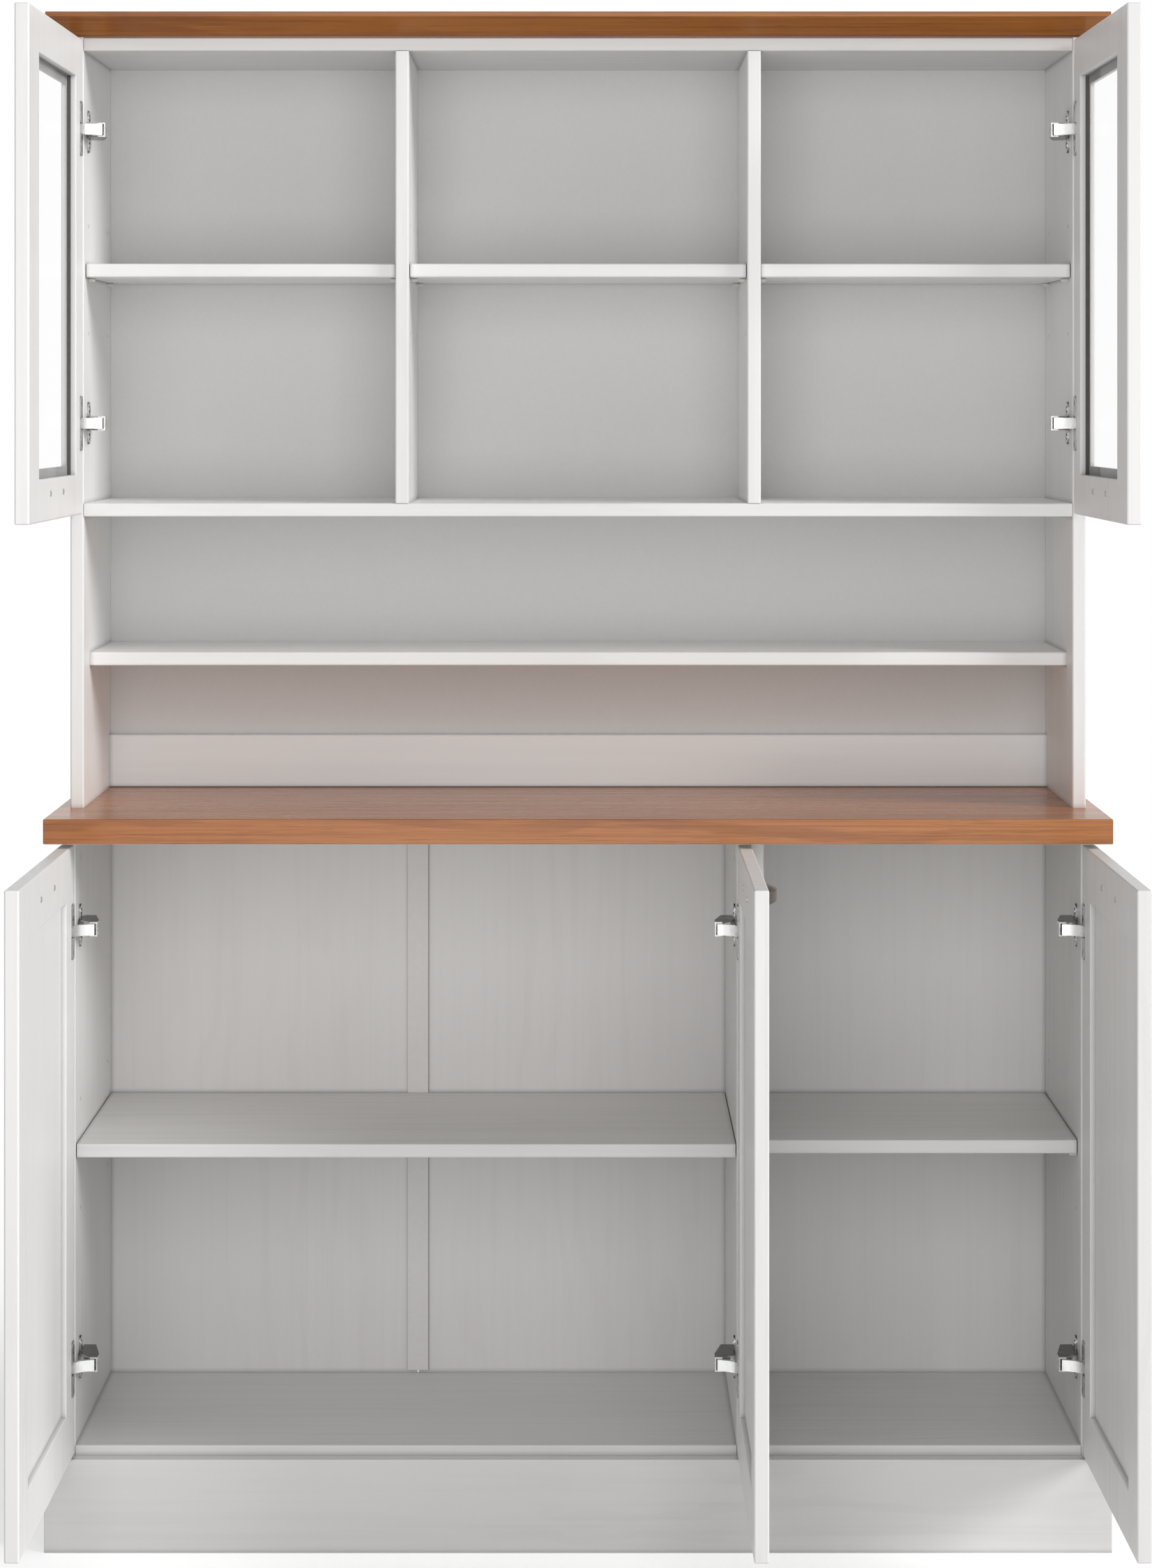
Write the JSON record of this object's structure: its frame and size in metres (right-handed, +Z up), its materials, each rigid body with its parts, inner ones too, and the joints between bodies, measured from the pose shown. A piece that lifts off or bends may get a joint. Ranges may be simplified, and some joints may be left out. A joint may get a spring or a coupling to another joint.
{
  "type": "kitchen buffet",
  "caption": "Kitchen buffet: white-washed base with framed doors under a honey-coloured counter, and a hutch with an open niche, glazed outer doors and a mitred crown.",
  "frame": {"origin": "centre of the plinth's footprint, on the floor", "axes": "+X to the right along the front, +Y from the front to the back, +Z up"},
  "size_m": [1.252, 0.7272, 1.791],
  "materials": {
    "washed_board": "white-washed board with a faint grain, satin",
    "washed_back": "white-washed thin sheet, matt",
    "plain_back": "plain pale grey sheet, matt",
    "honey_wood": "honey-stained wood grain, satin",
    "brushed_nickel": "brushed nickel",
    "hinge_steel": "nickel-plated pressed steel",
    "clear_glass": "clear float glass",
    "glazing_strip": "soft grey glazing strip",
    "pale_plastic": "moulded plastic"
  },
  "bodies": {
    "root": {"back_batten": "pale_plastic", "back_narrow": "washed_back", "back_wide_left": "washed_back", "back_wide_right": "washed_back", "backsplash_rail": "washed_board", "base_side_left": "washed_board", "base_side_right": "washed_board", "bottom_narrow": "washed_board", "bottom_wide": "washed_board", "cam_locks": "pale_plastic", "countertop": "honey_wood", "crown_front": "honey_wood", "crown_returns": "honey_wood", "divider_left": "washed_board", "divider_right": "washed_board", "hinge_arms": "hinge_steel", "hinge_plates": "hinge_steel", "hutch_back": "plain_back", "hutch_deck": "washed_board", "hutch_dividers": "washed_board", "hutch_shelves": "washed_board", "hutch_side_left": "washed_board", "hutch_side_right": "washed_board", "hutch_top": "washed_board", "open_shelf": "washed_board", "plinth_braces": "washed_board", "plinth_front": "washed_board", "plinth_rear": "washed_board", "plinth_sides": "washed_board", "shelf_narrow": "washed_board", "shelf_pins": "pale_plastic", "shelf_wide": "washed_board"},
    "door_left": {"door_left_frame": "washed_board", "door_left_handle": "brushed_nickel", "door_left_hinge_cups": "hinge_steel", "door_left_panel": "washed_board"},
    "door_left_links": {"door_left_hinge_links": "hinge_steel"},
    "door_middle": {"door_middle_frame": "washed_board", "door_middle_handle": "brushed_nickel", "door_middle_hinge_cups": "hinge_steel", "door_middle_panel": "washed_board"},
    "door_middle_links": {"door_middle_hinge_links": "hinge_steel"},
    "door_right": {"door_right_frame": "washed_board", "door_right_handle": "brushed_nickel", "door_right_hinge_cups": "hinge_steel", "door_right_panel": "washed_board"},
    "door_right_links": {"door_right_hinge_links": "hinge_steel"},
    "upper_door_left": {"upper_door_left_frame": "washed_board", "upper_door_left_gasket": "glazing_strip", "upper_door_left_glass": "clear_glass", "upper_door_left_handle": "brushed_nickel", "upper_door_left_hinge_cups": "hinge_steel"},
    "upper_door_left_links": {"upper_door_left_hinge_links": "hinge_steel"},
    "upper_door_right": {"upper_door_right_frame": "washed_board", "upper_door_right_gasket": "glazing_strip", "upper_door_right_glass": "clear_glass", "upper_door_right_handle": "brushed_nickel", "upper_door_right_hinge_cups": "hinge_steel"},
    "upper_door_right_links": {"upper_door_right_hinge_links": "hinge_steel"}
  },
  "joints": [
    {"name": "door_left_hinge", "type": "hinge", "parent": "root", "child": "door_left", "pos_m": [-0.594, -0.163, 0.464], "axis": [0, 0, 1], "range_deg": [-15, 90.4]},
    {"name": "door_left_link_slide", "type": "slide", "parent": "root", "child": "door_left_links", "axis": [0, 1, 0], "range_m": [-0.0017, 0.0097]},
    {"name": "door_middle_hinge", "type": "hinge", "parent": "root", "child": "door_middle", "pos_m": [0.194, -0.163, 0.464], "axis": [0, 0, -1], "range_deg": [-15, 90]},
    {"name": "door_middle_link_slide", "type": "slide", "parent": "root", "child": "door_middle_links", "axis": [0, 1, 0], "range_m": [-0.0017, 0.0097]},
    {"name": "door_right_hinge", "type": "hinge", "parent": "root", "child": "door_right", "pos_m": [0.594, -0.163, 0.464], "axis": [0, 0, -1], "range_deg": [-15, 90.4]},
    {"name": "door_right_link_slide", "type": "slide", "parent": "root", "child": "door_right_links", "axis": [0, 1, 0], "range_m": [-0.0017, 0.0097]},
    {"name": "upper_door_left_hinge", "type": "hinge", "parent": "root", "child": "upper_door_left", "pos_m": [-0.594, -0.092, 1.48], "axis": [0, 0, 1], "range_deg": [-15, 90.4]},
    {"name": "upper_door_left_link_slide", "type": "slide", "parent": "root", "child": "upper_door_left_links", "axis": [0, 1, 0], "range_m": [-0.0017, 0.0097]},
    {"name": "upper_door_right_hinge", "type": "hinge", "parent": "root", "child": "upper_door_right", "pos_m": [0.594, -0.092, 1.48], "axis": [0, 0, -1], "range_deg": [-15, 90.4]},
    {"name": "upper_door_right_link_slide", "type": "slide", "parent": "root", "child": "upper_door_right_links", "axis": [0, 1, 0], "range_m": [-0.0017, 0.0097]}
  ],
  "couplings": [
    {"joint": "door_left_link_slide", "follows": "door_left_hinge", "m_per_rad": 0.0061},
    {"joint": "door_middle_link_slide", "follows": "door_middle_hinge", "m_per_rad": 0.0061},
    {"joint": "door_right_link_slide", "follows": "door_right_hinge", "m_per_rad": 0.0061},
    {"joint": "upper_door_left_link_slide", "follows": "upper_door_left_hinge", "m_per_rad": 0.0061},
    {"joint": "upper_door_right_link_slide", "follows": "upper_door_right_hinge", "m_per_rad": 0.0061}
  ]
}
